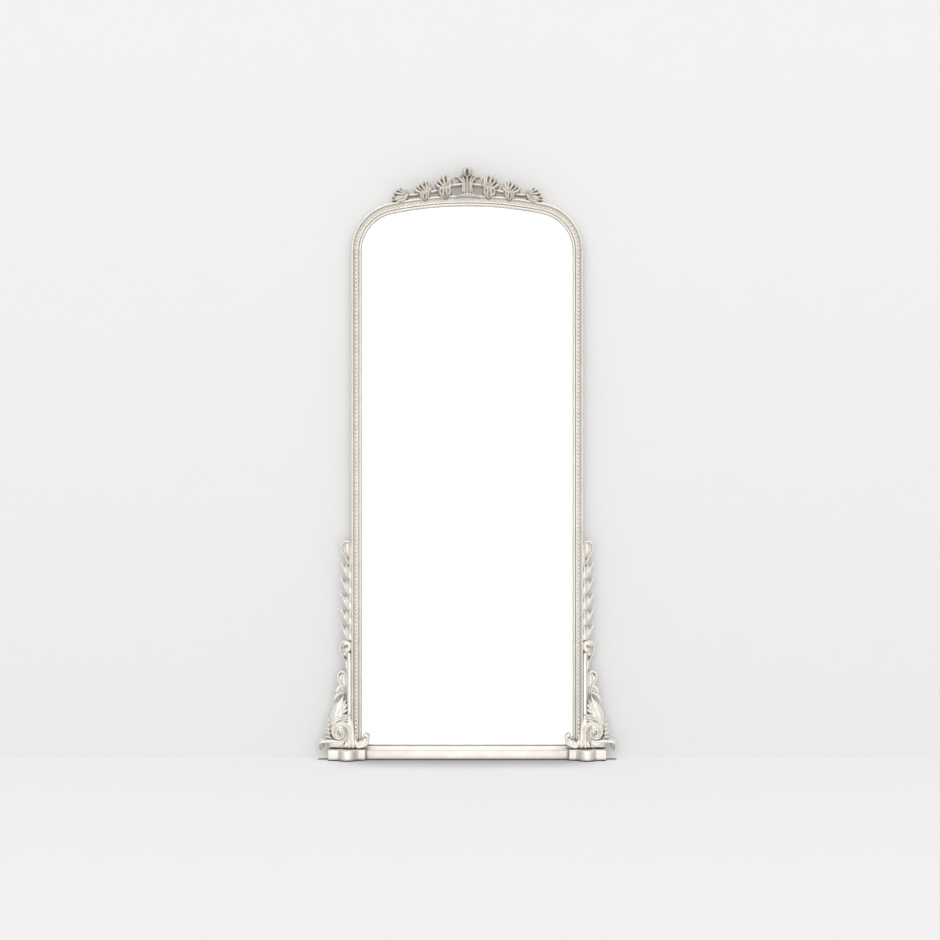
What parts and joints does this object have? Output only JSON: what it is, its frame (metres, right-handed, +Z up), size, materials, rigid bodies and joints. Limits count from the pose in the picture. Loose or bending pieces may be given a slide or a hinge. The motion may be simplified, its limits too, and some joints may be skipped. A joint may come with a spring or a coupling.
{
  "type": "leaner mirror",
  "caption": "Full-length arched floor mirror in an antique silver frame with pearl beading, a carved openwork crest, scrolled foot brackets and plinth blocks; it leans on a wall.",
  "frame": {"origin": "bottom centre of the bounding box, on the floor under the frame", "axes": "+X to the mirror's right as seen from the front, -Y out of the front, +Z up"},
  "size_m": [0.959, 0.106, 1.9],
  "materials": {
    "silvered_wood": "gesso and antique silver leaf over wood, worn dark in the recesses",
    "silvered_carving": "carved ornament in antique silver leaf, dark in the recesses",
    "silvered_beads": "pearl beading in burnished antique silver leaf",
    "mirror_glass": "clear 4 mm float glass, silvered on the back",
    "board": "bare brown medium-density fibreboard",
    "beech": "plain beech dowel",
    "steel": "zinc-plated steel",
    "rubber": "matt black rubber",
    "felt": "dark grey pressed felt"
  },
  "bodies": {
    "frame": {"right_stile": "silvered_wood", "left_stile": "silvered_wood", "arch_moulding": "silvered_wood", "bottom_rail": "silvered_wood", "right_plinth_block": "silvered_wood", "left_plinth_block": "silvered_wood", "mirror_glass": "mirror_glass", "backing_board": "board", "glass_setting_blocks": "rubber", "floor_pads": "felt", "frame_dowels": "beech", "board_points": "steel", "wall_bumpers": "rubber", "right_hanger_plate": "steel", "left_hanger_plate": "steel", "hanger_screws": "steel", "right_beading": "silvered_beads", "left_beading": "silvered_beads", "arch_beading": "silvered_beads", "crest_palmette": "silvered_carving", "right_crest_spray": "silvered_carving", "left_crest_spray": "silvered_carving", "right_base_volute": "silvered_carving", "left_base_volute": "silvered_carving", "right_acanthus_leaf": "silvered_carving", "left_acanthus_leaf": "silvered_carving", "right_foot_leaf": "silvered_carving", "left_foot_leaf": "silvered_carving", "right_corner_leaf": "silvered_carving", "left_corner_leaf": "silvered_carving", "right_scroll_strip": "silvered_carving", "left_scroll_strip": "silvered_carving", "right_side_scroll": "silvered_carving", "left_side_scroll": "silvered_carving", "right_husk_drop": "silvered_carving", "left_husk_drop": "silvered_carving"},
    "left_hanger": {"left_hanger_ring": "steel"},
    "right_hanger": {"right_hanger_ring": "steel"}
  },
  "joints": [
    {"name": "right_hanger_swing", "type": "hinge", "parent": "frame", "child": "right_hanger", "pos_m": [0.3645, 0.0474, 1.42], "axis": [1, 0, 0], "range_deg": [0, 180]},
    {"name": "left_hanger_swing", "type": "hinge", "parent": "frame", "child": "left_hanger", "pos_m": [-0.3645, 0.0474, 1.42], "axis": [1, 0, 0], "range_deg": [0, 180]}
  ]
}
